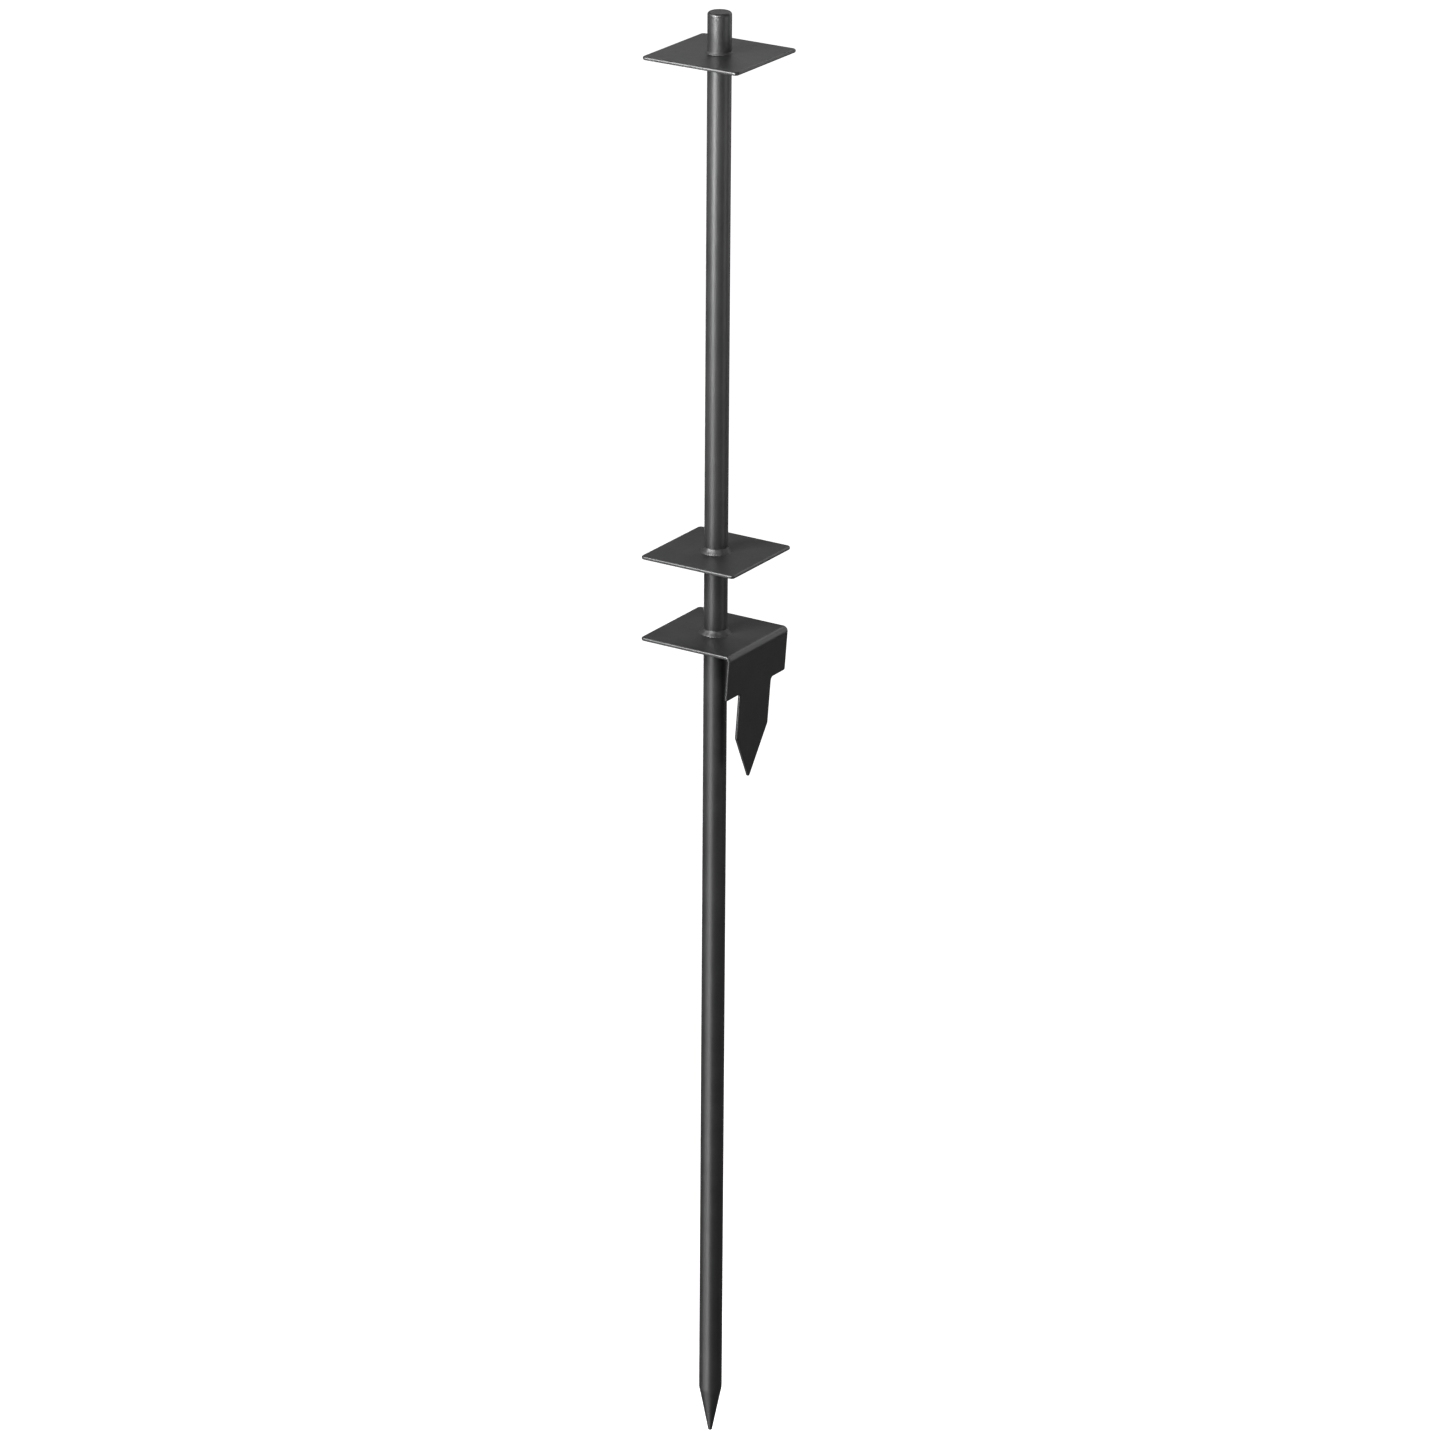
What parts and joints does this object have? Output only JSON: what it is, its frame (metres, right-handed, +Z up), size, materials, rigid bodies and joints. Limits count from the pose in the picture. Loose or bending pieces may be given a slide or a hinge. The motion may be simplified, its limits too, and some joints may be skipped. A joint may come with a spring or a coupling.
{
  "type": "post anchor spike",
  "caption": "Pointed round steel ground spike with square plates that centre a hollow post and a bent ground plate with an anti-turn tab.",
  "frame": {"origin": "on the bar's axis at the underside of the ground plate, which is soil level", "axes": "+Z up along the bar towards the driving end; the bent flange and anti-turn tab hang on the -Y side; +X is along the bend"},
  "size_m": [0.073, 0.073, 1.024],
  "materials": {
    "black_powder_coat": "satin black powder coat"
  },
  "bodies": {
    "root": {"ground_rod": "black_powder_coat", "upper_plate": "black_powder_coat", "middle_plate": "black_powder_coat", "ground_plate": "black_powder_coat", "upper_weld": "black_powder_coat", "middle_weld": "black_powder_coat", "ground_weld": "black_powder_coat"}
  },
  "joints": []
}
